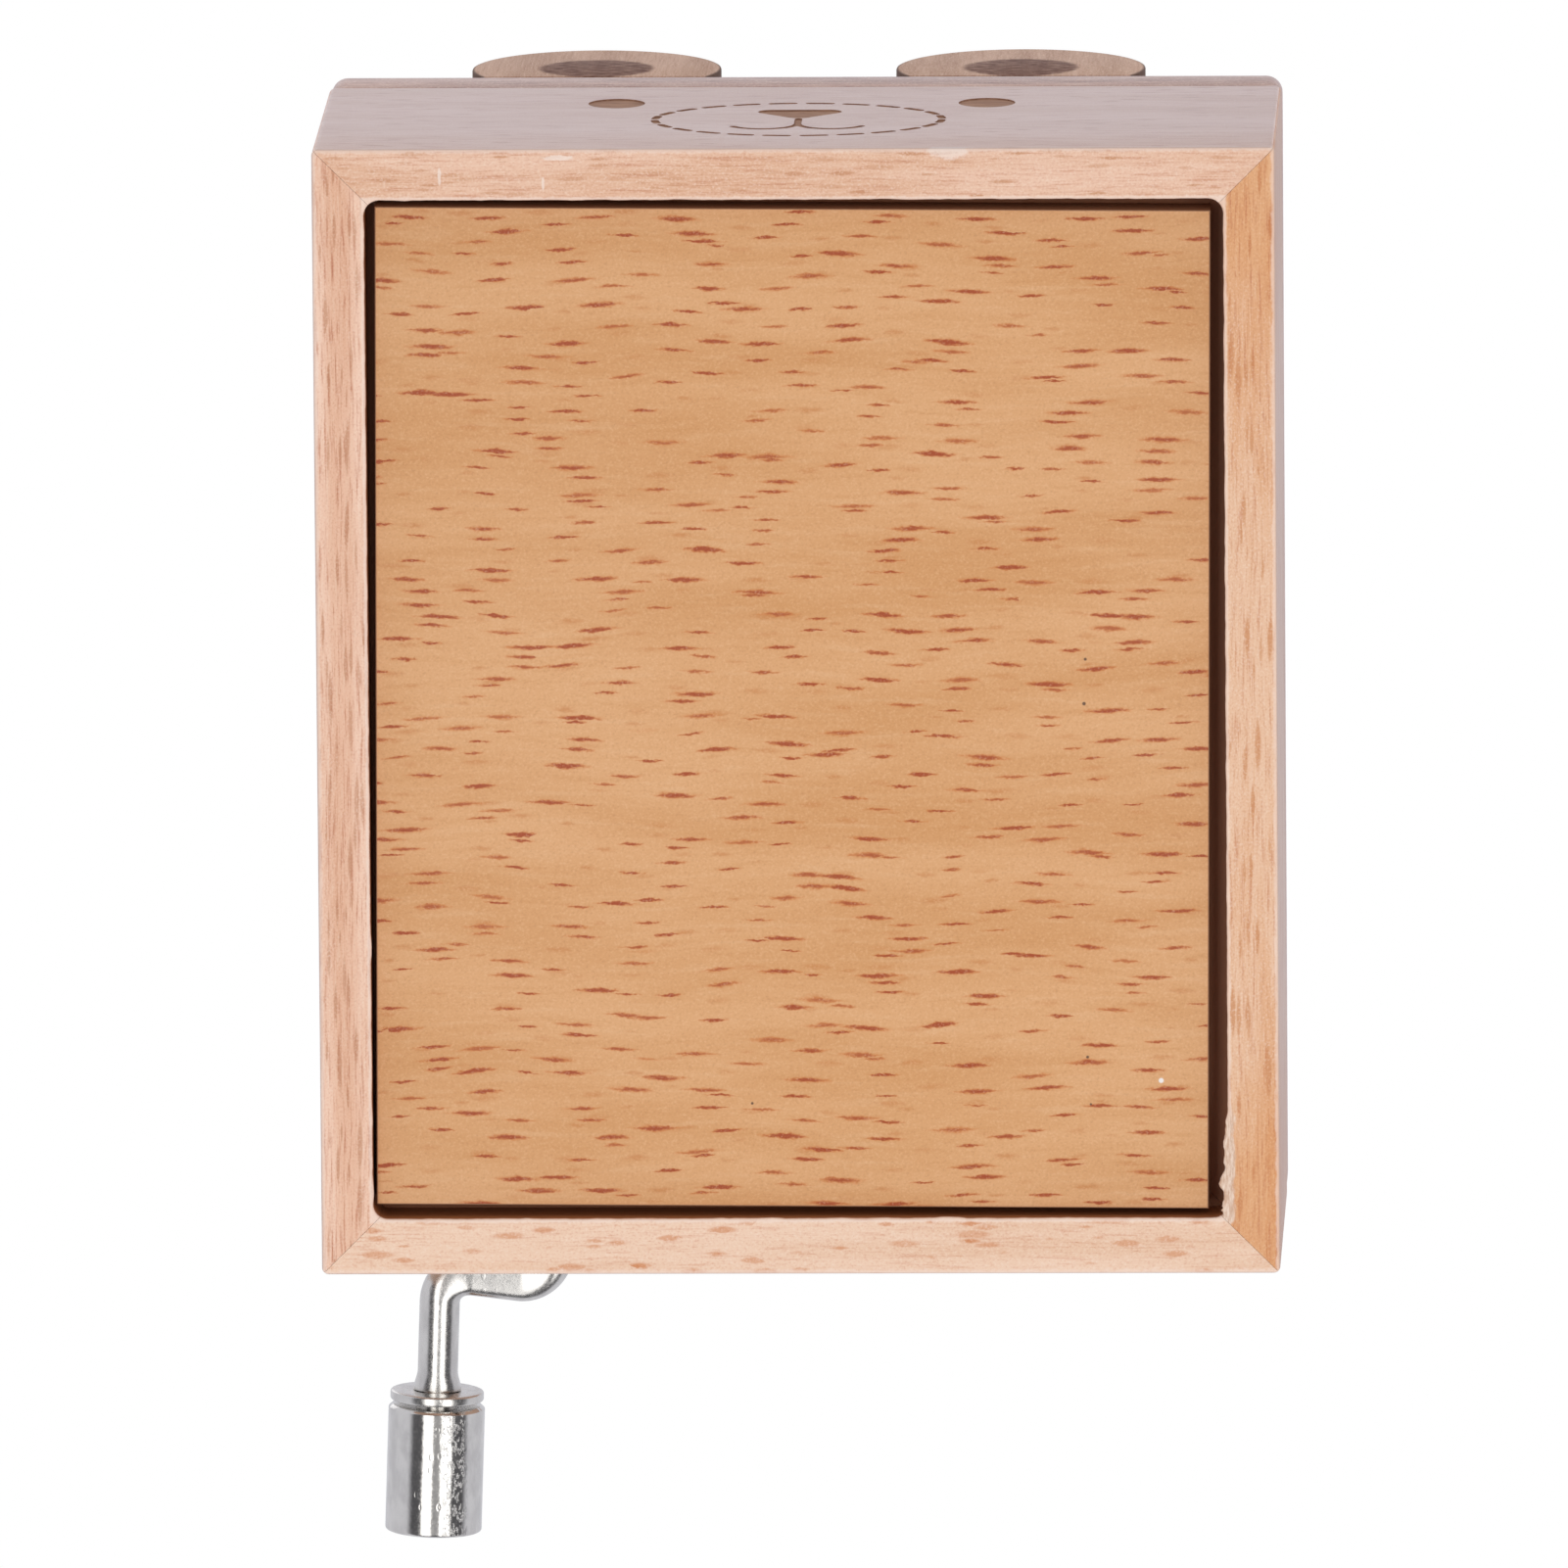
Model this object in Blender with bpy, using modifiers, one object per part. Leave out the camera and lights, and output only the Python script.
"""Hand crank music box: a small beech box with two round ears and an 18 note crank movement inside.

The box stands on its lower rim. The origin is on the table, under the middle of the box and its crank taken
together. +Z is up, the face looks along -Y and the crank leaves the back wall along +Y. The movement hangs from the
top board, which is its sounding board: the crank turns a worm, the worm turns the drum's gear, and the drum's pins
pass the tips of the comb. Places are worked out from the middle of the box, and one empty at the end moves them all.
"""
import math

import bmesh
import bpy
from mathutils import Matrix, Vector

MM = 0.001

# Case: four mitred walls, a top board, an inset bottom panel and two ears
CASE_WIDTH = 64.0 * MM
CASE_DEPTH = 76.0 * MM
WALL_HEIGHT = 27.5 * MM
WALL_THICKNESS = 6.0 * MM
WALL_CORNER_RADIUS = 0.4 * MM
LIP_WIDTH = 3.7 * MM
REBATE_CORNER_RADIUS = 1.0 * MM
TOP_THICKNESS = 5.0 * MM
TOP_CORNER_RADIUS = 1.1 * MM
TOP_EDGE_RADIUS = 0.5 * MM
PANEL_SIDE_GAP = 0.7 * MM
PANEL_END_GAP = 0.6 * MM
PANEL_THICKNESS = 3.0 * MM
PANEL_RECESS = 1.1 * MM
PANEL_SHIFT_X = -0.15 * MM
PANEL_SHIFT_Y = -0.1 * MM
PANEL_TURN_DEGREES = 0.4
EAR_RADIUS = 8.4 * MM
EAR_THICKNESS = 4.0 * MM
EAR_INSET = 17.7 * MM
EAR_RISE = 3.6 * MM
EAR_EDGE_RADIUS = 0.3 * MM

# Gaps: a mitre's glue line, and what lies between any two pieces that rest on or fit round each other
MITRE_GAP = 0.15 * MM
SEAT_GAP = 0.3 * MM
OVERRUN = 1.0 * MM
MERGE_DISTANCE = 0.001 * MM

# Worm drive: the crank's worm runs under the drum's gear, with its axis square to the gear's. The insets are from the
# left wall's and the back wall's outer faces.
CRANK_INSET = 15.1 * MM
DRUM_INSET = 24.0 * MM
DRUM_DROP = 8.0 * MM
TOOTH_MODULE = 0.5 * MM
GEAR_TEETH = 14
GEAR_WIDTH = 2.4 * MM
GEAR_HUB_RADIUS = 2.5 * MM
WORM_PITCH_RADIUS = 1.9 * MM
WORM_TURNS = 4.5
ADDENDUM_SHARE = 0.8
DEDENDUM_SHARE = 1.0
TOOTH_SHARE = 0.42
PRESSURE_DEGREES = 20.0
COLLAR_RADIUS = 2.6 * MM
COLLAR_WIDTH = 0.5 * MM
FRONT_JOURNAL_RADIUS = 1.2 * MM
BACK_JOURNAL_RADIUS = 1.9 * MM
JOURNAL_STICKOUT = 1.0 * MM
SOCKET_DEPTH = 4.0 * MM

# Drum: a pinned brass cylinder on a steel arbor
DRUM_RADIUS = 6.5 * MM
DRUM_DISH_RADIUS = 5.4 * MM
DRUM_DISH_DEPTH = 0.6 * MM
PIN_HEIGHT = 0.7 * MM
PIN_RADIUS = 0.24 * MM
PIN_ROOT = 0.4 * MM
PINS_A_TRACK = 6
TRACK_TURN_SHARE = 0.382
ARBOR_RADIUS = 1.0 * MM
ARBOR_STICKOUT = 0.8 * MM

# Comb: eighteen tuned teeth on one steel plate, the longest with weights under their tips
COMB_TEETH = 18
TOOTH_PITCH = 1.05 * MM
TOOTH_SLOT = 0.27 * MM
TOOTH_THICKNESS = 0.8 * MM
TOOTH_LENGTH_LONG = 13.0 * MM
TOOTH_LENGTH_SHORT = 8.5 * MM
TIP_CLEARANCE = 0.25 * MM
COMB_THICKNESS = 1.6 * MM
COMB_BODY_DEPTH = 7.0 * MM
COMB_SIDE = 0.8 * MM
WEIGHTED_TEETH = 8
WEIGHT_LENGTH_LONG = 3.4 * MM
WEIGHT_LENGTH_SHORT = 1.6 * MM
WEIGHT_DROP = 1.3 * MM
WEIGHT_SETBACK = 1.0 * MM

# Bedplate and brackets: a cast plate with the comb's seat, and two folded steel brackets
PLATE_THICKNESS = 1.8 * MM
PLATE_MARGIN = 1.2 * MM
PLATE_CORNER_RADIUS = 2.5 * MM
PLATE_WINDOW_MARGIN = 2.2 * MM
SEAT_DEPTH = 6.0 * MM
SHEET = 1.2 * MM
BRACKET_HALF_WIDTH = 3.3 * MM
BRACKET_TAB = 4.8 * MM
BRACKET_FOOT = 6.0 * MM
BRACKET_CORNER_RADIUS = 1.0 * MM
BEARING_HALF_WIDTH = 3.0 * MM
END_PLAY = 0.5 * MM

# Screws
MACHINE_SCREW_RADIUS = 1.0 * MM
MACHINE_HEAD_RADIUS = 2.0 * MM
MACHINE_HEAD_HEIGHT = 1.2 * MM
COMB_SCREW_SPACING = 11.0 * MM
COMB_SCREW_DEPTH = 3.6 * MM
WOOD_SCREW_RADIUS = 1.1 * MM
WOOD_HEAD_RADIUS = 2.2 * MM
WOOD_HEAD_HEIGHT = 1.4 * MM
WOOD_SCREW_DEPTH = 3.8 * MM
WOOD_POINT_LENGTH = 1.6 * MM
HEAD_EDGE_SHARE = 0.35
SCREW_INSET = 3.2 * MM

# Crank: one bent wire, flattened along its arm, with a washer and a turning knob riveted on
WIRE_RADIUS = 1.35 * MM
WALL_HOLE_RADIUS = 2.5 * MM
SPIGOT_RADIUS = 0.9 * MM
ARM_GAP = 0.9 * MM
ARM_HALF_WIDTH = 1.55 * MM
ARM_HALF_THICKNESS = 0.95 * MM
BEND_RADIUS = 2.1 * MM
CRANK_THROW = 7.77 * MM
HANDLE_LEAN_DEGREES = 2.1
WASHER_STANDOFF = 5.6 * MM
WASHER_RADIUS = 3.14 * MM
WASHER_THICKNESS = 0.65 * MM
WING_HALF_WIDTH = 1.75 * MM
WING_LENGTH = 1.1 * MM
KNOB_RADIUS = 3.24 * MM
KNOB_LENGTH = 8.6 * MM
KNOB_EDGE_RADIUS = 0.2 * MM
COUNTERBORE_RADIUS = 2.6 * MM
COUNTERBORE_DEPTH = 1.5 * MM
RIVET_RADIUS = 2.2 * MM
RIVET_HEIGHT = 0.8 * MM
WING_SHARES = (0, 0.35, 0.7, 1)
ROUND_POWER = 2.0
FLAT_POWER = 3.2

# Facets round a circle
FINE_FACETS = 40
ROUND_FACETS = 24
SMALL_FACETS = 16
PIN_FACETS = 5
CORNER_FACETS = 4
BEND_FACETS = 8
THREAD_FACETS = 20
WIRE_FACETS = 16
FLANK_FACETS = 3
GEAR_LAYERS = 2
SMOOTH_DEGREES = 35.0
EASED_DEGREES = 60.0

# Places worked out from the sizes above
crank_x = CRANK_INSET - CASE_WIDTH / 2
drum_y = CASE_DEPTH / 2 - DRUM_INSET
plate_top = WALL_HEIGHT - SEAT_GAP
plate_bottom = plate_top - PLATE_THICKNESS
drum_z = plate_bottom - DRUM_DROP
gear_pitch_radius = TOOTH_MODULE * GEAR_TEETH / 2
crank_z = drum_z - gear_pitch_radius - WORM_PITCH_RADIUS
lead = math.pi * TOOTH_MODULE
addendum = ADDENDUM_SHARE * TOOTH_MODULE
dedendum = DEDENDUM_SHARE * TOOTH_MODULE
thread_half = (WORM_TURNS * lead) / 2 + lead / 4
collar_end = thread_half + COLLAR_WIDTH
bearing_inner = collar_end + SEAT_GAP
bearing_outer = bearing_inner + SHEET
worm_back = bearing_outer + JOURNAL_STICKOUT + SOCKET_DEPTH - SHEET
drum_left = crank_x + BRACKET_HALF_WIDTH + END_PLAY
drum_length = COMB_TEETH * TOOTH_PITCH + COMB_SIDE
drum_right = drum_left + drum_length
drum_centre_x = (drum_left + drum_right) / 2
pin_tip_radius = DRUM_RADIUS + PIN_HEIGHT
comb_tip_y = drum_y - pin_tip_radius - TIP_CLEARANCE
comb_front_y = comb_tip_y - TOOTH_LENGTH_LONG - COMB_BODY_DEPTH
comb_seat_z = drum_z + COMB_THICKNESS / 2 + SEAT_GAP
bracket_base_top = plate_bottom - SEAT_GAP
far_bracket_x = drum_right + END_PLAY
arm_y = CASE_DEPTH / 2 + ARM_GAP + ARM_HALF_WIDTH
handle_start = arm_y + BEND_RADIUS
knob_start = WASHER_STANDOFF + WASHER_THICKNESS + SEAT_GAP
rivet_start = knob_start + KNOB_LENGTH - COUNTERBORE_DEPTH + SEAT_GAP
handle_lean = math.radians(HANDLE_LEAN_DEGREES)

ALONG_X = (0.0, math.pi / 2, 0.0)
ALONG_Y = (-math.pi / 2, 0.0, 0.0)


def empty_scene():
    """Remove whatever the file holds, so that the script can be run again."""
    for obj in list(bpy.data.objects):
        bpy.data.objects.remove(obj, do_unlink=True)
    for collection in list(bpy.data.collections):
        bpy.data.collections.remove(collection)


def new_collection(name):
    collection = bpy.data.collections.new(name)
    bpy.context.scene.collection.children.link(collection)
    return collection


def finish(name, colour, roughness, metallic):
    """A plain Principled material."""
    material = bpy.data.materials.new(name)
    material.use_nodes = True
    shader = material.node_tree.nodes["Principled BSDF"]
    shader.inputs["Base Color"].default_value = (*colour, 1.0)
    shader.inputs["Roughness"].default_value = roughness
    shader.inputs["Metallic"].default_value = metallic
    material.diffuse_color = (*colour, 1.0)
    return material


def add_object(name, data, home, material=None, location=(0, 0, 0), rotation=(0, 0, 0)):
    obj = bpy.data.objects.new(name, data)
    home.objects.link(obj)
    obj.location = location
    obj.rotation_euler = rotation
    if material:
        data.materials.append(material)
    return obj


def hide_tool(obj):
    """A cutter, or a shape that is joined to a piece, isn't a piece itself."""
    obj.hide_render = True
    obj.display_type = "WIRE"
    return obj


def shade(mesh):
    mesh.shade_smooth()
    mesh.set_sharp_from_angle(angle=math.radians(SMOOTH_DEGREES))


def mesh_from(bm, name):
    bmesh.ops.recalc_face_normals(bm, faces=bm.faces)
    mesh = bpy.data.meshes.new(name)
    bm.to_mesh(mesh)
    bm.free()
    shade(mesh)
    return mesh


def arc(centre, radius, start, end, facets):
    """Points along an arc, from the start angle to the end angle."""
    turns = (start + (end - start) * i / facets for i in range(facets + 1))
    return [(centre[0] + radius * math.cos(a), centre[1] + radius * math.sin(a)) for a in turns]


def rounded_rectangle(x0, y0, x1, y1, radius):
    quarter = math.pi / 2
    left, right, low, high = x0 + radius, x1 - radius, y0 + radius, y1 - radius
    corners = ((right, high), (left, high), (left, low), (right, low))
    points = []
    for i, corner in enumerate(corners):
        points += arc(corner, radius, i * quarter, (i + 1) * quarter, CORNER_FACETS)
    return points


def slab_mesh(name, points, low, high):
    """A flat outline, filled and given its thickness between two heights along Z."""
    curve = bpy.data.curves.new(name, "CURVE")
    curve.dimensions = "2D"
    curve.fill_mode = "BOTH"
    curve.extrude = (high - low) / 2
    spline = curve.splines.new("POLY")
    spline.points.add(len(points) - 1)
    for point, (x, y) in zip(spline.points, points):
        point.co = (x, y, 0, 1)
    spline.use_cyclic_u = True
    guide = bpy.data.objects.new(name, curve)
    bpy.context.scene.collection.objects.link(guide)
    graph = bpy.context.evaluated_depsgraph_get()
    mesh = bpy.data.meshes.new_from_object(guide.evaluated_get(graph))
    bpy.data.objects.remove(guide, do_unlink=True)
    bm = bmesh.new()
    bm.from_mesh(mesh)
    bpy.data.meshes.remove(mesh)
    bmesh.ops.remove_doubles(bm, verts=bm.verts, dist=MERGE_DISTANCE)
    bmesh.ops.recalc_face_normals(bm, faces=bm.faces)
    bmesh.ops.translate(bm, verts=bm.verts, vec=(0, 0, (high + low) / 2))
    return bm


def slab(name, points, low, high, home, material=None, location=(0, 0, 0), rotation=(0, 0, 0)):
    mesh = mesh_from(slab_mesh(name, points, low, high), name)
    return add_object(name, mesh, home, material, location, rotation)


def round_bar(name, radius, low, high, facets, home, location=(0, 0, 0), rotation=(0, 0, 0)):
    """A cylinder along its own Z axis, between two heights."""
    bm = bmesh.new()
    bmesh.ops.create_cone(bm, cap_ends=True, segments=facets, radius1=radius, radius2=radius, depth=high - low)
    bmesh.ops.translate(bm, verts=bm.verts, vec=(0, 0, (high + low) / 2))
    return add_object(name, mesh_from(bm, name), home, None, location, rotation)


def block(name, low, high, home, material=None):
    """A box between two corners."""
    bm = bmesh.new()
    bmesh.ops.create_cube(bm, size=1)
    size = [h - l for l, h in zip(low, high)]
    bmesh.ops.scale(bm, verts=bm.verts, vec=size)
    middle = [(h + l) / 2 for l, h in zip(low, high)]
    bmesh.ops.translate(bm, verts=bm.verts, vec=middle)
    return add_object(name, mesh_from(bm, name), home, material)


def turned(name, profile, facets, home, material, location=(0, 0, 0), rotation=(0, 0, 0), ring=False):
    """A piece turned about its own Z axis from (radius, height) points that run down its outer side.

    A ring's profile is a closed loop; any other starts and ends on the axis.
    """
    mesh = bpy.data.meshes.new(name)
    count = len(profile)
    edges = [(i, (i + 1) % count) for i in range(count if ring else count - 1)]
    mesh.from_pydata([(r, 0, z) for r, z in profile], edges, [])
    obj = add_object(name, mesh, home, material, location, rotation)
    screw = obj.modifiers.new("turn", "SCREW")
    screw.axis = "Z"
    screw.steps = facets
    screw.render_steps = facets
    screw.use_merge_vertices = True
    screw.merge_threshold = MERGE_DISTANCE
    screw.use_smooth_shade = True
    return obj


def cut(obj, cutter):
    change = obj.modifiers.new("cut " + cutter.name, "BOOLEAN")
    change.operation = "DIFFERENCE"
    change.object = hide_tool(cutter)


def join(obj, other):
    change = obj.modifiers.new("join " + other.name, "BOOLEAN")
    change.operation = "UNION"
    change.object = hide_tool(other)


def empty(name, home, location, parent=None, rotation=(0, 0, 0)):
    obj = bpy.data.objects.new(name, None)
    home.objects.link(obj)
    obj.location = location
    obj.rotation_euler = rotation
    obj.parent = parent
    return obj


def ride(obj, axis):
    """Parent a piece to the empty on its joint's axis, without moving it."""
    bpy.context.view_layer.update()
    obj.parent = axis
    obj.matrix_parent_inverse = axis.matrix_world.inverted()


def wall_outline(length, thickness):
    """A mitred board seen from above: its long outer side lies on y = 0 and its tips are slightly rounded."""
    radius = WALL_CORNER_RADIUS
    shrink = MITRE_GAP / math.sqrt(2)
    half = length / 2
    outward = -math.pi / 2
    left = arc((-half + radius, radius), radius, outward - math.pi / 4, outward, CORNER_FACETS)
    left = [(x + shrink, y) for x, y in left]
    right = [(-x, y) for x, y in reversed(left)]
    inner = half - thickness - shrink
    return left + right + [(inner, thickness), (-inner, thickness)]


def make_wall(name, length, turn, offset, parts, wood, rebate):
    """One wall, cut by the rebate that holds the bottom panel."""
    place = (offset * math.sin(turn), -offset * math.cos(turn), 0)
    outline = wall_outline(length, WALL_THICKNESS)
    wall = slab(name, outline, 0, WALL_HEIGHT - SEAT_GAP, parts, wood, place, (0, 0, turn))
    cut(wall, rebate)
    return wall


def make_case(parts, tools, woods):
    """Walls, top board, bottom panel and ears."""
    half_width = CASE_WIDTH / 2
    half_depth = CASE_DEPTH / 2
    inner_x = half_width - LIP_WIDTH
    inner_y = half_depth - LIP_WIDTH
    opening = rounded_rectangle(-inner_x, -inner_y, inner_x, inner_y, REBATE_CORNER_RADIUS)
    shoulder = PANEL_RECESS + PANEL_THICKNESS + SEAT_GAP
    rebate = slab("rebate", opening, -OVERRUN, shoulder, tools)

    make_wall("front_wall", CASE_WIDTH, 0, half_depth, parts, woods["front"], rebate)
    make_wall("left_wall", CASE_DEPTH, -math.pi / 2, half_width, parts, woods["side"], rebate)
    make_wall("right_wall", CASE_DEPTH, math.pi / 2, half_width, parts, woods["side"], rebate)
    back = make_wall("back_wall", CASE_WIDTH, math.pi, half_depth, parts, woods["back"], rebate)
    hole = round_bar("crank_hole", WALL_HOLE_RADIUS, half_depth - WALL_THICKNESS - OVERRUN, half_depth + OVERRUN,
                     ROUND_FACETS, tools, (crank_x, 0, crank_z), ALONG_Y)
    cut(back, hole)

    board = rounded_rectangle(-half_width, -half_depth, half_width, half_depth, TOP_CORNER_RADIUS)
    top = slab("top_board", board, WALL_HEIGHT, WALL_HEIGHT + TOP_THICKNESS, parts, woods["top"])
    ease_edges(top, TOP_EDGE_RADIUS)
    for i, (x, y) in enumerate(mounting_places()):
        pilot = round_bar("pilot_%d" % (i + 1), WOOD_SCREW_RADIUS + SEAT_GAP, WALL_HEIGHT - OVERRUN,
                          WALL_HEIGHT + WOOD_SCREW_DEPTH, SMALL_FACETS, tools, (x, y, 0))
        cut(top, pilot)

    half_panel = (inner_x - PANEL_SIDE_GAP, inner_y - PANEL_END_GAP)
    panel = block("bottom_panel", (-half_panel[0], -half_panel[1], PANEL_RECESS),
                  (half_panel[0], half_panel[1], PANEL_RECESS + PANEL_THICKNESS), parts, woods["panel"])
    panel.location = (PANEL_SHIFT_X, PANEL_SHIFT_Y, 0)
    panel.rotation_euler = (0, 0, math.radians(PANEL_TURN_DEGREES))

    for name, side in (("left_ear", -1), ("right_ear", 1)):
        make_ear(name, side * (half_width - EAR_INSET), parts, woods["ear"])


def ease_edges(obj, radius):
    bevel = obj.modifiers.new("ease", "BEVEL")
    bevel.width = radius
    bevel.segments = 2
    bevel.limit_method = "ANGLE"
    bevel.angle_limit = math.radians(EASED_DEGREES)


def make_ear(name, x, parts, wood):
    """A round disc, cut flat where it stands on the top board, with its face flush with the front wall."""
    drop = EAR_RISE - SEAT_GAP
    edge = math.asin(drop / EAR_RADIUS)
    outline = arc((0, 0), EAR_RADIUS, -edge, math.pi + edge, FINE_FACETS)
    ear = slab(name, outline, -EAR_THICKNESS, 0, parts, wood)
    ear.rotation_euler = (math.pi / 2, 0, 0)
    ear.location = (x, -CASE_DEPTH / 2, WALL_HEIGHT + TOP_THICKNESS + EAR_RISE)
    ease_edges(ear, EAR_EDGE_RADIUS)


def plate_bounds():
    """The bedplate's left, front, right and back edges, set by what stands on it."""
    left = crank_x - BRACKET_HALF_WIDTH - PLATE_MARGIN
    right = far_bracket_x + BRACKET_FOOT + PLATE_MARGIN
    front = comb_front_y - PLATE_MARGIN
    back = drum_y + bearing_outer + BRACKET_TAB + PLATE_MARGIN
    return left, front, right, back


def mounting_places():
    """The three wood screws: both front corners and the back corner away from the crank."""
    left, front, right, back = plate_bounds()
    return [(left + SCREW_INSET, front + SCREW_INSET), (right - SCREW_INSET, front + SCREW_INSET),
            (right - SCREW_INSET, back - SCREW_INSET)]


def comb_screw_places():
    y = comb_front_y + COMB_BODY_DEPTH / 2
    return [(drum_centre_x - COMB_SCREW_SPACING / 2, y), (drum_centre_x + COMB_SCREW_SPACING / 2, y)]


def bracket_screw_places():
    """Two screws through the gear bracket's tabs and two through the far bracket's foot."""
    reach = bearing_outer + BRACKET_TAB / 2
    foot_x = far_bracket_x + SHEET + (BRACKET_FOOT - SHEET) / 2
    side = BEARING_HALF_WIDTH
    return [(crank_x, drum_y - reach), (crank_x, drum_y + reach), (foot_x, drum_y - side), (foot_x, drum_y + side)]


def make_bedplate(parts, tools, zinc):
    """The cast plate under the top board, with the block that the comb is screwed to."""
    left, front, right, back = plate_bounds()
    outline = rounded_rectangle(left, front, right, back, PLATE_CORNER_RADIUS)
    plate = slab("bedplate", outline, plate_bottom, plate_top, parts, zinc)
    half = drum_length / 2
    seat_front = comb_front_y + (COMB_BODY_DEPTH - SEAT_DEPTH) / 2
    seat = block("comb_seat", (drum_centre_x - half, seat_front, comb_seat_z),
                 (drum_centre_x + half, seat_front + SEAT_DEPTH, plate_bottom + PLATE_THICKNESS / 2), tools)
    join(plate, seat)
    margin = PLATE_WINDOW_MARGIN
    window = rounded_rectangle(drum_left + margin, drum_y - DRUM_RADIUS + margin, drum_right - margin,
                               drum_y + DRUM_RADIUS - margin, BRACKET_CORNER_RADIUS)
    cut(plate, slab("plate_window", window, plate_bottom - OVERRUN, plate_top + OVERRUN, tools))
    for i, (x, y) in enumerate(mounting_places()):
        cut(plate, round_bar("mounting_hole_%d" % (i + 1), WOOD_SCREW_RADIUS + SEAT_GAP, plate_bottom - OVERRUN,
                             plate_top + OVERRUN, SMALL_FACETS, tools, (x, y, 0)))
    for i, (x, y) in enumerate(bracket_screw_places()):
        cut(plate, round_bar("tapped_hole_%d" % (i + 1), MACHINE_SCREW_RADIUS + SEAT_GAP, plate_bottom - OVERRUN,
                             plate_top + OVERRUN, SMALL_FACETS, tools, (x, y, 0)))
    for i, (x, y) in enumerate(comb_screw_places()):
        cut(plate, round_bar("comb_hole_%d" % (i + 1), MACHINE_SCREW_RADIUS + SEAT_GAP, comb_seat_z - OVERRUN,
                             comb_seat_z + COMB_SCREW_DEPTH + SEAT_GAP, SMALL_FACETS, tools, (x, y, 0)))


def tooth_share(i):
    """From 0 at the longest tooth to 1 at the shortest."""
    return i / (COMB_TEETH - 1)


def make_comb(parts, tools, steel):
    """A thick body with thin teeth of graded length, and weights under the longest teeth."""
    root_y = comb_front_y + COMB_BODY_DEPTH
    body = block("comb", (drum_left, comb_front_y, drum_z - COMB_THICKNESS / 2),
                 (drum_right, root_y, drum_z + COMB_THICKNESS / 2), parts, steel)
    first_x = drum_centre_x - TOOTH_PITCH * COMB_TEETH / 2
    width = TOOTH_PITCH - TOOTH_SLOT
    teeth = []
    for i in range(COMB_TEETH):
        x = first_x + i * TOOTH_PITCH + TOOTH_SLOT / 2
        length = TOOTH_LENGTH_LONG + (TOOTH_LENGTH_SHORT - TOOTH_LENGTH_LONG) * tooth_share(i)
        valley = comb_tip_y - length
        teeth += [(x, valley), (x, comb_tip_y), (x + width, comb_tip_y), (x + width, valley)]
    buried = root_y - TOOTH_THICKNESS
    left_side = [(drum_left, buried), (drum_left, teeth[0][1])]
    right_side = [(drum_right, teeth[-1][1]), (drum_right, buried)]
    low = drum_z - TOOTH_THICKNESS / 2
    join(body, slab("comb_teeth", left_side + teeth + right_side, low, drum_z + TOOTH_THICKNESS / 2, tools))
    for i in range(WEIGHTED_TEETH):
        x = first_x + i * TOOTH_PITCH + TOOTH_SLOT / 2
        share = i / (WEIGHTED_TEETH - 1)
        length = WEIGHT_LENGTH_LONG + (WEIGHT_LENGTH_SHORT - WEIGHT_LENGTH_LONG) * share
        back_y = comb_tip_y - WEIGHT_SETBACK
        join(body, block("weight_%d" % (i + 1), (x, back_y - length, low - WEIGHT_DROP), (x + width, back_y, drum_z),
                         tools))
    for i, (x, y) in enumerate(comb_screw_places()):
        cut(body, round_bar("comb_clearance_%d" % (i + 1), MACHINE_SCREW_RADIUS + SEAT_GAP, drum_z - COMB_THICKNESS,
                            drum_z + COMB_THICKNESS, SMALL_FACETS, tools, (x, y, 0)))


def screw_profile(head_radius, head_height, shank_radius, length, point):
    """A domed head below z = 0 and a shank above it, run down from the tip to the head."""
    edge = HEAD_EDGE_SHARE * head_height
    tip = [(0, length), (shank_radius, length - point)] if point else [(0, length), (shank_radius, length)]
    head = [(head_radius, 0), (head_radius, edge - head_height), (head_radius - edge, -head_height)]
    return tip + [(shank_radius, 0)] + head + [(0, -head_height)]


def make_screws(name, places, profile, z, parts, steel):
    """Identical screws: each is its own object, and all share the first one's mesh."""
    first = turned(name + "_1", profile, SMALL_FACETS, parts, steel, (*places[0], z))
    for i, place in enumerate(places[1:]):
        screw = first.copy()
        screw.name = "%s_%d" % (name, i + 2)
        screw.location = (*place, z)
        parts.objects.link(screw)


def make_all_screws(parts, steel):
    """Comb screws, bracket screws and the wood screws that hang the movement from the top board."""
    comb_under = drum_z - COMB_THICKNESS / 2 - SEAT_GAP
    profile = screw_profile(MACHINE_HEAD_RADIUS, MACHINE_HEAD_HEIGHT, MACHINE_SCREW_RADIUS,
                            comb_seat_z + COMB_SCREW_DEPTH - comb_under, 0)
    make_screws("comb_screw", comb_screw_places(), profile, comb_under, parts, steel)
    bracket_under = bracket_base_top - SHEET - SEAT_GAP
    profile = screw_profile(MACHINE_HEAD_RADIUS, MACHINE_HEAD_HEIGHT, MACHINE_SCREW_RADIUS,
                            plate_top - bracket_under, 0)
    make_screws("bracket_screw", bracket_screw_places(), profile, bracket_under, parts, steel)
    plate_under = plate_bottom - SEAT_GAP
    profile = screw_profile(WOOD_HEAD_RADIUS, WOOD_HEAD_HEIGHT, WOOD_SCREW_RADIUS,
                            WALL_HEIGHT + WOOD_SCREW_DEPTH - SEAT_GAP - plate_under, WOOD_POINT_LENGTH)
    make_screws("mounting_screw", mounting_places(), profile, plate_under, parts, steel)


def tongue(name, half_width, root, end, low, high, tools, location, rotation):
    """A bracket's upright: straight from its root, with a round end about the bearing."""
    turn = arc((0, end), half_width, math.pi, 2 * math.pi, ROUND_FACETS // 2)
    return slab(name, turn + [(half_width, root), (-half_width, root)], low, high, tools, None, location, rotation)


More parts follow.
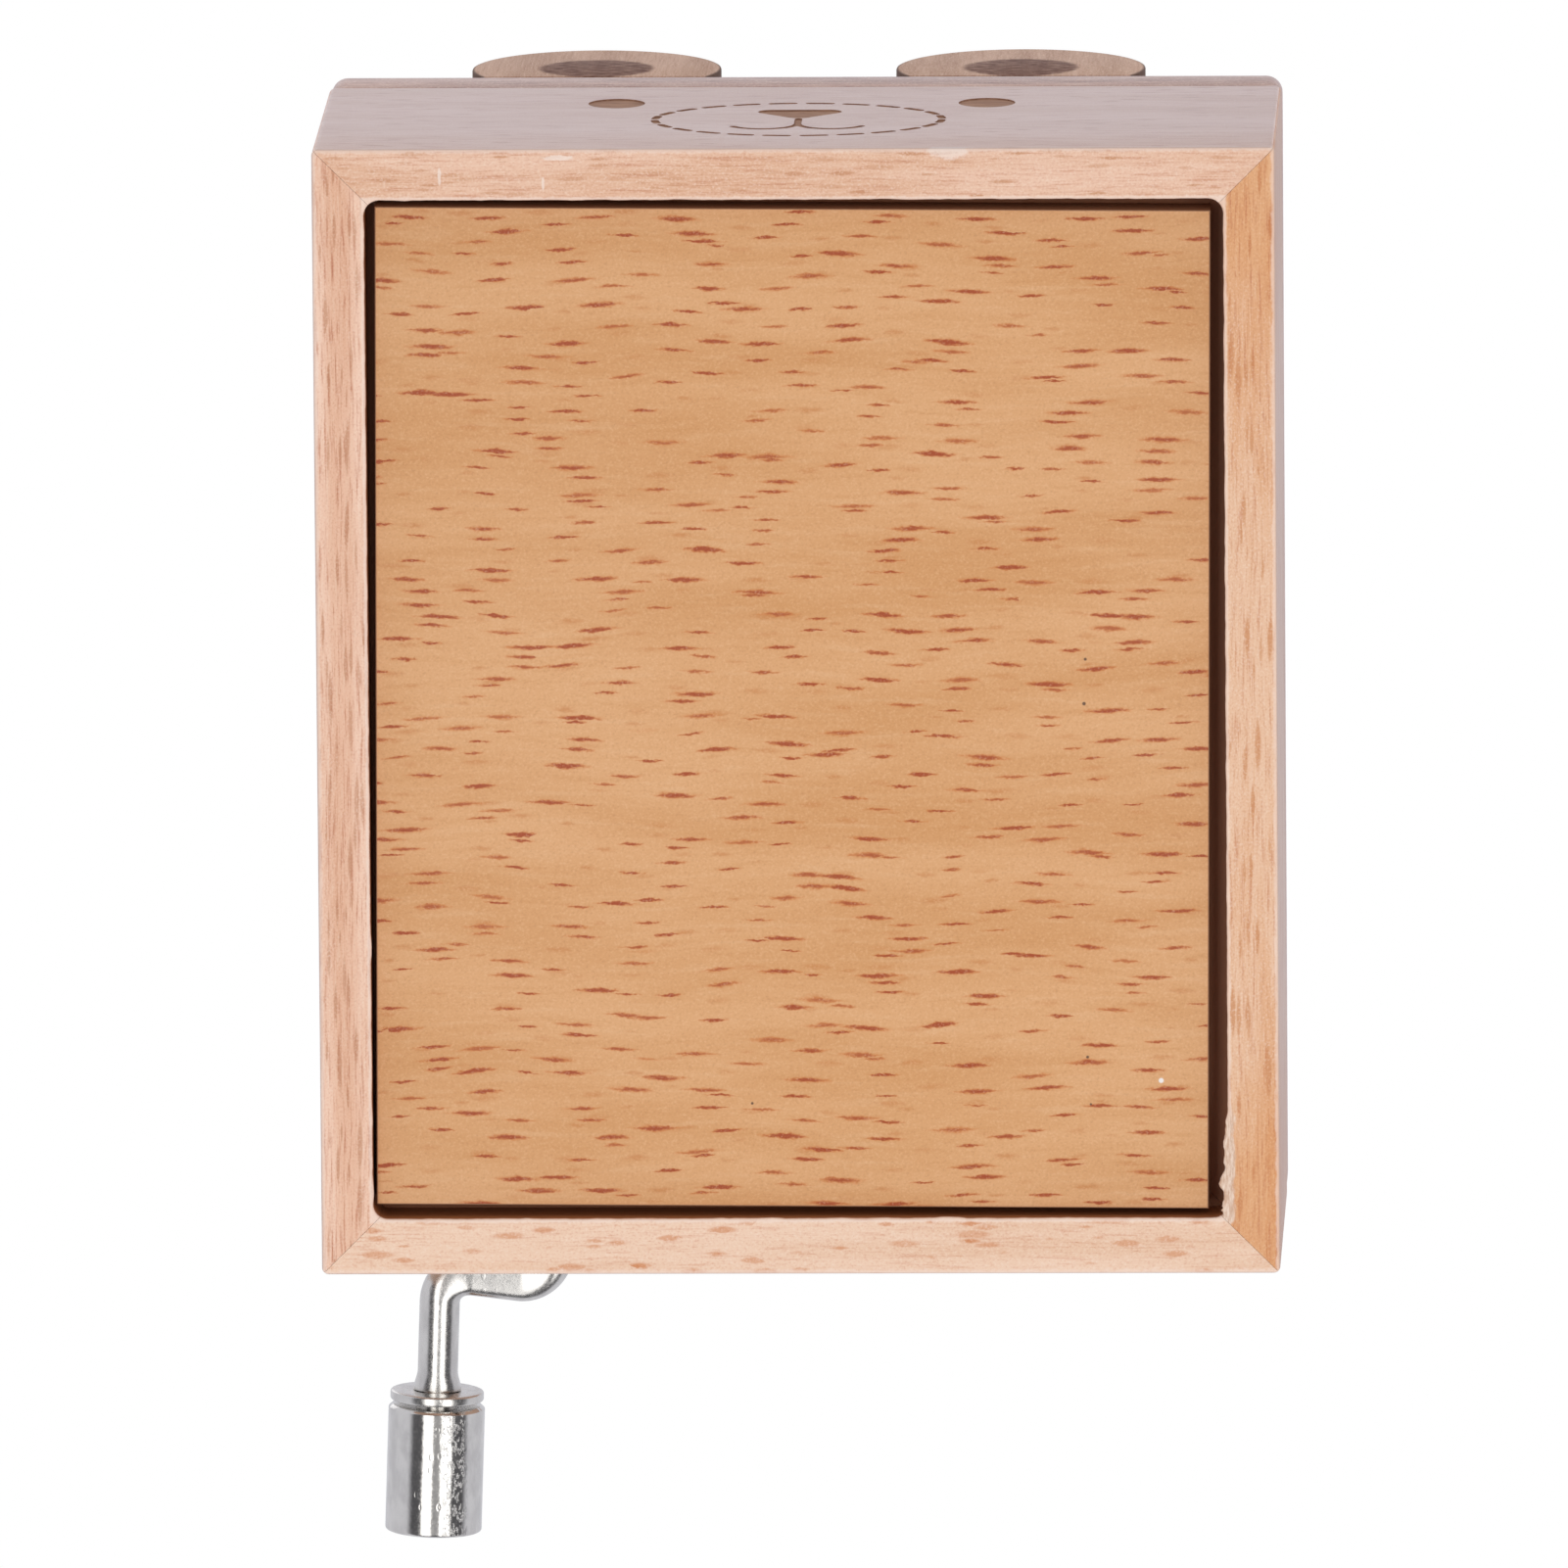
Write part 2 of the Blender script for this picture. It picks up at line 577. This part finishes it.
def make_gear_bracket(parts, tools, steel):
    """A folded bracket with three uprights: one for the drum's arbor and two for the worm."""
    base_low = bracket_base_top - SHEET
    reach = bearing_outer + BRACKET_TAB
    outline = rounded_rectangle(crank_x - BRACKET_HALF_WIDTH, drum_y - reach,
                                crank_x + BRACKET_HALF_WIDTH, drum_y + reach, BRACKET_CORNER_RADIUS)
    bracket = slab("gear_bracket", outline, base_low, bracket_base_top, parts, steel)
    root = base_low + SHEET / 2
    for name, side in (("worm_upright_front", -1), ("worm_upright_back", 1)):
        inner, outer = sorted((side * bearing_inner, side * bearing_outer))
        join(bracket, tongue(name, BRACKET_HALF_WIDTH, root, crank_z, -outer, -inner, tools, (crank_x, drum_y, 0),
                             (math.pi / 2, 0, 0)))
    side_x = crank_x - GEAR_WIDTH / 2 - SEAT_GAP
    join(bracket, tongue("arbor_upright", BEARING_HALF_WIDTH, root, drum_z, -SHEET, 0, tools, (side_x, drum_y, 0),
                         (math.pi / 2, 0, math.pi / 2)))
    shaft = (crank_x, drum_y, crank_z)
    cut(bracket, round_bar("worm_front_bore", FRONT_JOURNAL_RADIUS + SEAT_GAP, -bearing_outer - OVERRUN, 0,
                           ROUND_FACETS, tools, shaft, ALONG_Y))
    cut(bracket, round_bar("worm_back_bore", BACK_JOURNAL_RADIUS + SEAT_GAP, 0, bearing_outer + OVERRUN,
                           ROUND_FACETS, tools, shaft, ALONG_Y))
    cut(bracket, round_bar("arbor_bore_near", ARBOR_RADIUS + SEAT_GAP, side_x - SHEET - OVERRUN, side_x + OVERRUN,
                           ROUND_FACETS, tools, (0, drum_y, drum_z), ALONG_X))
    for i, (x, y) in enumerate(bracket_screw_places()[:2]):
        cut(bracket, round_bar("bracket_hole_%d" % (i + 1), MACHINE_SCREW_RADIUS + SEAT_GAP, base_low - OVERRUN,
                               bracket_base_top + OVERRUN, SMALL_FACETS, tools, (x, y, 0)))


def make_far_bracket(parts, tools, steel):
    """The plain bracket at the drum's other end."""
    base_low = bracket_base_top - SHEET
    half = BEARING_HALF_WIDTH + MACHINE_HEAD_RADIUS + PLATE_MARGIN
    outline = rounded_rectangle(far_bracket_x, drum_y - half, far_bracket_x + BRACKET_FOOT, drum_y + half,
                                BRACKET_CORNER_RADIUS)
    bracket = slab("far_bracket", outline, base_low, bracket_base_top, parts, steel)
    join(bracket, tongue("far_upright", BEARING_HALF_WIDTH, base_low + SHEET / 2, drum_z, 0, SHEET, tools,
                         (far_bracket_x, drum_y, 0), (math.pi / 2, 0, math.pi / 2)))
    cut(bracket, round_bar("arbor_bore_far", ARBOR_RADIUS + SEAT_GAP, far_bracket_x - OVERRUN,
                           far_bracket_x + SHEET + OVERRUN, ROUND_FACETS, tools, (0, drum_y, drum_z), ALONG_X))
    for i, (x, y) in enumerate(bracket_screw_places()[2:]):
        cut(bracket, round_bar("bracket_hole_%d" % (i + 3), MACHINE_SCREW_RADIUS + SEAT_GAP, base_low - OVERRUN,
                               bracket_base_top + OVERRUN, SMALL_FACETS, tools, (x, y, 0)))


def involute(angle):
    return math.tan(angle) - angle


def gear_outline():
    """Involute teeth, with a tooth space centred on the angle 0."""
    pressure = math.radians(PRESSURE_DEGREES)
    base = gear_pitch_radius * math.cos(pressure)
    root = gear_pitch_radius - dedendum
    tip = gear_pitch_radius + addendum
    half_at_pitch = TOOTH_SHARE * math.pi / GEAR_TEETH
    flank = []
    for i in range(FLANK_FACETS + 1):
        radius = base + (tip - base) * i / FLANK_FACETS
        slope = math.acos(min(base / radius, 1))
        flank.append((radius, half_at_pitch + involute(pressure) - involute(slope)))
    flank.insert(0, (root, flank[0][1]))
    points = []
    for tooth in range(GEAR_TEETH):
        middle = 2 * math.pi * (tooth + 0.5) / GEAR_TEETH
        points += [(r * math.cos(middle - a), r * math.sin(middle - a)) for r, a in flank]
        points += [(r * math.cos(middle + a), r * math.sin(middle + a)) for r, a in reversed(flank)]
    return points


def helical_angle():
    """The tangent of the worm's lead angle."""
    return lead / (2 * math.pi * WORM_PITCH_RADIUS)


def make_gear(parts, tools, brass, axis):
    """The drum's gear: teeth that follow the worm's lead, and a hub towards the drum."""
    twist = GEAR_WIDTH * helical_angle() / gear_pitch_radius
    bm = bmesh.new()
    start = [Vector((x, y, -GEAR_WIDTH / 2)) for x, y in gear_outline()]
    face = bm.faces.new([bm.verts.new(p) for p in start])
    bmesh.ops.rotate(bm, verts=bm.verts, cent=(0, 0, 0), matrix=Matrix.Rotation(-twist / 2, 3, "Z"))
    bmesh.ops.spin(bm, geom=[face], cent=(0, 0, 0), axis=(0, 0, 1), dvec=(0, 0, GEAR_WIDTH / GEAR_LAYERS),
                   angle=twist, steps=GEAR_LAYERS)
    place = (crank_x, drum_y, drum_z)
    gear = add_object("drum_gear", mesh_from(bm, "drum_gear"), parts, brass, place, ALONG_X)
    hub_end = drum_left - SEAT_GAP - crank_x
    join(gear, round_bar("gear_hub", GEAR_HUB_RADIUS, 0, hub_end, ROUND_FACETS, tools, place, ALONG_X))
    cut(gear, round_bar("gear_bore", ARBOR_RADIUS + SEAT_GAP, -GEAR_WIDTH, hub_end + OVERRUN, ROUND_FACETS, tools,
                        place, ALONG_X))
    ride(gear, axis)


def make_drum(parts, tools, brass, steel, axis):
    """The pinned cylinder and the arbor that it turns on."""
    bore = ARBOR_RADIUS + SEAT_GAP
    dish = DRUM_DISH_DEPTH
    profile = [(DRUM_DISH_RADIUS, drum_length - dish), (DRUM_DISH_RADIUS, drum_length), (DRUM_RADIUS, drum_length),
               (DRUM_RADIUS, 0), (DRUM_DISH_RADIUS, 0), (DRUM_DISH_RADIUS, dish), (bore, dish),
               (bore, drum_length - dish)]
    drum = turned("drum", profile, FINE_FACETS, parts, brass, (drum_left, drum_y, drum_z), ALONG_X, ring=True)
    bm = bmesh.new()
    first = drum_centre_x - drum_left - TOOTH_PITCH * (COMB_TEETH - 1) / 2
    for track in range(COMB_TEETH):
        for note in range(PINS_A_TRACK):
            turn = 2 * math.pi * (note / PINS_A_TRACK + track * TRACK_TURN_SHARE)
            add_pin(bm, turn, first + track * TOOTH_PITCH)
    pins = add_object("drum_pins", mesh_from(bm, "drum_pins"), tools, None, (drum_left, drum_y, drum_z), ALONG_X)
    join(drum, pins)
    ride(drum, axis)

    near = crank_x - GEAR_WIDTH / 2 - SEAT_GAP - SHEET - ARBOR_STICKOUT
    far = far_bracket_x + SHEET + ARBOR_STICKOUT
    profile = [(0, far), (ARBOR_RADIUS, far), (ARBOR_RADIUS, near), (0, near)]
    arbor = turned("drum_arbor", profile, ROUND_FACETS, parts, steel, (0, drum_y, drum_z), ALONG_X)
    ride(arbor, axis)


def add_pin(bm, turn, height):
    """One pin, standing square on the drum."""
    made = bmesh.ops.create_cone(bm, cap_ends=True, segments=PIN_FACETS, radius1=PIN_RADIUS, radius2=PIN_RADIUS,
                                 depth=PIN_ROOT + PIN_HEIGHT)
    outward = Vector((math.cos(turn), math.sin(turn), 0))
    tilt = outward.to_track_quat("Z", "X").to_matrix()
    bmesh.ops.rotate(bm, verts=made["verts"], cent=(0, 0, 0), matrix=tilt)
    middle = DRUM_RADIUS + (PIN_HEIGHT - PIN_ROOT) / 2
    bmesh.ops.translate(bm, verts=made["verts"], vec=outward * middle + Vector((0, 0, height)))


def make_worm(parts, tools, steel, axis):
    """A single start worm with a collar and a journal at each end; the back journal is the crank's socket."""
    root = WORM_PITCH_RADIUS - dedendum
    front = -bearing_outer - JOURNAL_STICKOUT
    socket = SPIGOT_RADIUS + SEAT_GAP
    floor = worm_back - SOCKET_DEPTH
    profile = [(0, floor), (socket, floor), (socket, worm_back), (BACK_JOURNAL_RADIUS, worm_back),
               (BACK_JOURNAL_RADIUS, collar_end), (COLLAR_RADIUS, collar_end), (COLLAR_RADIUS, thread_half),
               (root, thread_half), (root, -thread_half), (COLLAR_RADIUS, -thread_half), (COLLAR_RADIUS, -collar_end),
               (FRONT_JOURNAL_RADIUS, -collar_end), (FRONT_JOURNAL_RADIUS, front), (0, front)]
    worm = turned("worm", profile, THREAD_FACETS, parts, steel, (crank_x, drum_y, crank_z), ALONG_Y)

    slope = math.tan(math.radians(PRESSURE_DEGREES))
    half_at_pitch = TOOTH_SHARE * lead / 2
    embedded = root - dedendum / 2
    crest = WORM_PITCH_RADIUS + addendum
    inner_half = half_at_pitch + (WORM_PITCH_RADIUS - embedded) * slope
    outer_half = half_at_pitch - addendum * slope
    # The crest passes the angle 0 a quarter of the lead from the middle, which meshes it with the gear. It starts
    # half a facet off the body's own facets, and as many whole leads back as bring it between the collars.
    begin = math.pi + math.pi / THREAD_FACETS
    place = lead / 4 + lead * begin / (2 * math.pi)
    start = place - lead * round(place / lead + WORM_TURNS / 2)
    section = [(embedded, -inner_half), (crest, -outer_half), (crest, outer_half), (embedded, inner_half)]
    bm = bmesh.new()
    across = (math.cos(begin), math.sin(begin))
    face = bm.faces.new([bm.verts.new((r * across[0], r * across[1], start + s)) for r, s in section])
    steps = round(WORM_TURNS * THREAD_FACETS)
    bmesh.ops.spin(bm, geom=[face], cent=(0, 0, 0), axis=(0, 0, 1), dvec=(0, 0, lead / THREAD_FACETS),
                   angle=2 * math.pi * WORM_TURNS, steps=steps)
    thread = add_object("worm_thread", mesh_from(bm, "worm_thread"), tools, None, (crank_x, drum_y, crank_z), ALONG_Y)
    join(worm, thread)
    ride(worm, axis)


def handle_base():
    """Where the handle leaves its bend, in the crank's own plane."""
    x = -CRANK_THROW + BEND_RADIUS * (1 - math.cos(handle_lean))
    return Vector((x, handle_start - BEND_RADIUS * math.sin(handle_lean)))


def wire_stations():
    """Rings along the wire: a middle point, a direction and how far the wire is flattened and spread there."""
    quarter = math.pi / 2
    first_bend = arm_y - BEND_RADIUS
    shaft = Vector((0, 1))
    stations = [(Vector((0, drum_y + worm_back + SEAT_GAP)), shaft, 0, 0), (Vector((0, first_bend)), shaft, 0, 0)]
    for i in range(1, BEND_FACETS + 1):
        share = i / BEND_FACETS
        turn = share * quarter
        point = Vector((-BEND_RADIUS + BEND_RADIUS * math.cos(turn), first_bend + BEND_RADIUS * math.sin(turn)))
        stations.append((point, Vector((-math.sin(turn), math.cos(turn))), smooth(share), 0))
    second_x = -CRANK_THROW + BEND_RADIUS
    for i in range(BEND_FACETS + 1):
        share = i / BEND_FACETS
        turn = -quarter - share * (quarter - handle_lean)
        point = Vector((second_x + BEND_RADIUS * math.cos(turn), handle_start + BEND_RADIUS * math.sin(turn)))
        stations.append((point, Vector((math.sin(turn), -math.cos(turn))), smooth(1 - share), 0))
    base = handle_base()
    along = Vector((-math.sin(handle_lean), math.cos(handle_lean)))
    wing_end = WASHER_STANDOFF - SEAT_GAP
    for share in WING_SHARES:
        place = wing_end - WING_LENGTH * (1 - share)
        stations.append((base + along * place, along, 0, math.sin(math.pi * share)))
    stations.append((base + along * rivet_start, along, 0, 0))
    return stations


def smooth(share):
    return share * share * (3 - 2 * share)


def wire_ring(bm, point, direction, half_width, half_thickness, power):
    """One ring of the wire: a circle that a larger power squares towards a flat strip with round edges."""
    side = Vector((direction.y, -direction.x, 0))
    ring = []
    for i in range(WIRE_FACETS):
        turn = 2 * math.pi * i / WIRE_FACETS
        across, up = math.cos(turn), math.sin(turn)
        across = math.copysign(abs(across) ** (2 / power), across) * half_width
        up = math.copysign(abs(up) ** (2 / power), up) * half_thickness
        ring.append(bm.verts.new(Vector((point.x, point.y, up)) + side * across))
    return ring


def make_wire(parts, nickel, axis):
    """The bent wire: a loft, because it runs from a round spigot over a flattened arm to a round handle."""
    bm = bmesh.new()
    spigot_y = drum_y + worm_back - SOCKET_DEPTH + SEAT_GAP
    shoulder_y = drum_y + worm_back + SEAT_GAP
    shaft = Vector((0, 1))
    rings = [wire_ring(bm, Vector((0, y)), shaft, SPIGOT_RADIUS, SPIGOT_RADIUS, ROUND_POWER)
             for y in (spigot_y, shoulder_y)]
    for point, direction, flat, wing in wire_stations():
        width = WIRE_RADIUS + (ARM_HALF_WIDTH - WIRE_RADIUS) * flat + (WING_HALF_WIDTH - WIRE_RADIUS) * wing
        thickness = WIRE_RADIUS + (ARM_HALF_THICKNESS - WIRE_RADIUS) * flat
        power = ROUND_POWER + (FLAT_POWER - ROUND_POWER) * flat
        rings.append(wire_ring(bm, point, direction, width, thickness, power))
    base = handle_base()
    along = Vector((-math.sin(handle_lean), math.cos(handle_lean)))
    for place in (rivet_start, rivet_start + RIVET_HEIGHT):
        rings.append(wire_ring(bm, base + along * place, along, RIVET_RADIUS, RIVET_RADIUS, ROUND_POWER))
    for near, far in zip(rings, rings[1:]):
        for i in range(WIRE_FACETS):
            j = (i + 1) % WIRE_FACETS
            bm.faces.new((near[i], near[j], far[j], far[i]))
    bm.faces.new(rings[0])
    bm.faces.new(rings[-1])
    wire = add_object("crank_wire", mesh_from(bm, "crank_wire"), parts, nickel, (crank_x, 0, crank_z))
    ride(wire, axis)


def make_handle(parts, nickel, crank_axis, knob_axis):
    """The washer above the knob, and the knob with its bore and the counterbore that hides the rivet."""
    base = handle_base()
    place = (crank_x + base.x, base.y, crank_z)
    turn = (ALONG_Y[0], 0, handle_lean)
    hole = WIRE_RADIUS + SEAT_GAP
    top, bottom = WASHER_STANDOFF, WASHER_STANDOFF + WASHER_THICKNESS
    profile = [(WASHER_RADIUS, bottom), (WASHER_RADIUS, top), (hole, top), (hole, bottom)]
    washer = turned("handle_washer", profile, FINE_FACETS, parts, nickel, place, turn, ring=True)
    ride(washer, crank_axis)

    end = knob_start + KNOB_LENGTH
    edge = KNOB_EDGE_RADIUS
    profile = [(KNOB_RADIUS - edge, end), (KNOB_RADIUS, end - edge), (KNOB_RADIUS, knob_start + edge),
               (KNOB_RADIUS - edge, knob_start), (hole, knob_start), (hole, end - COUNTERBORE_DEPTH),
               (COUNTERBORE_RADIUS, end - COUNTERBORE_DEPTH), (COUNTERBORE_RADIUS, end)]
    knob = turned("knob", profile, FINE_FACETS, parts, nickel, place, turn, ring=True)
    ride(knob, knob_axis)


def place_case(parts, tools):
    """Bring the middle of the box and its crank over the origin."""
    end = knob_start + KNOB_LENGTH
    across = KNOB_RADIUS - KNOB_EDGE_RADIUS
    reach = handle_base().y + end * math.cos(handle_lean) + across * math.sin(handle_lean)
    case_middle = empty("case_middle", parts, (0, (CASE_DEPTH / 2 - reach) / 2, 0))
    for obj in list(parts.objects) + list(tools.objects):
        if obj.parent is None and obj is not case_middle:
            obj.parent = case_middle


def main():
    empty_scene()
    parts = new_collection("hand_crank_music_box")
    tools = new_collection("cutters")
    woods = {
        "front": finish("beech_front", (0.78, 0.52, 0.38), 0.6, 0.0),
        "side": finish("beech_sides", (0.80, 0.50, 0.33), 0.6, 0.0),
        "back": finish("beech_back", (0.83, 0.58, 0.42), 0.6, 0.0),
        "top": finish("beech_top", (0.76, 0.50, 0.36), 0.6, 0.0),
        "panel": finish("printed_beech_panel", (0.68, 0.38, 0.17), 0.5, 0.0),
        "ear": finish("beech_ears", (0.58, 0.36, 0.22), 0.65, 0.0),
    }
    nickel = finish("nickel_plate", (0.72, 0.70, 0.67), 0.18, 1.0)
    steel = finish("bright_steel", (0.56, 0.56, 0.55), 0.35, 1.0)
    brass = finish("brass", (0.75, 0.55, 0.25), 0.3, 1.0)
    zinc = finish("cast_zinc", (0.45, 0.46, 0.48), 0.5, 1.0)

    base = handle_base()
    crank_axis = empty("crank_axis", parts, (crank_x, 0, crank_z))
    drum_axis = empty("drum_axis", parts, (0, drum_y, drum_z))
    knob_axis = empty("knob_axis", parts, (base.x, base.y, 0), crank_axis, (0, 0, handle_lean))

    make_case(parts, tools, woods)
    make_bedplate(parts, tools, zinc)
    make_comb(parts, tools, steel)
    make_gear_bracket(parts, tools, steel)
    make_far_bracket(parts, tools, steel)
    make_all_screws(parts, steel)
    make_gear(parts, tools, brass, drum_axis)
    make_drum(parts, tools, brass, steel, drum_axis)
    make_worm(parts, tools, steel, crank_axis)
    make_wire(parts, nickel, crank_axis)
    make_handle(parts, nickel, crank_axis, knob_axis)
    place_case(parts, tools)
    bpy.context.view_layer.update()


if __name__ == "__main__":
    main()
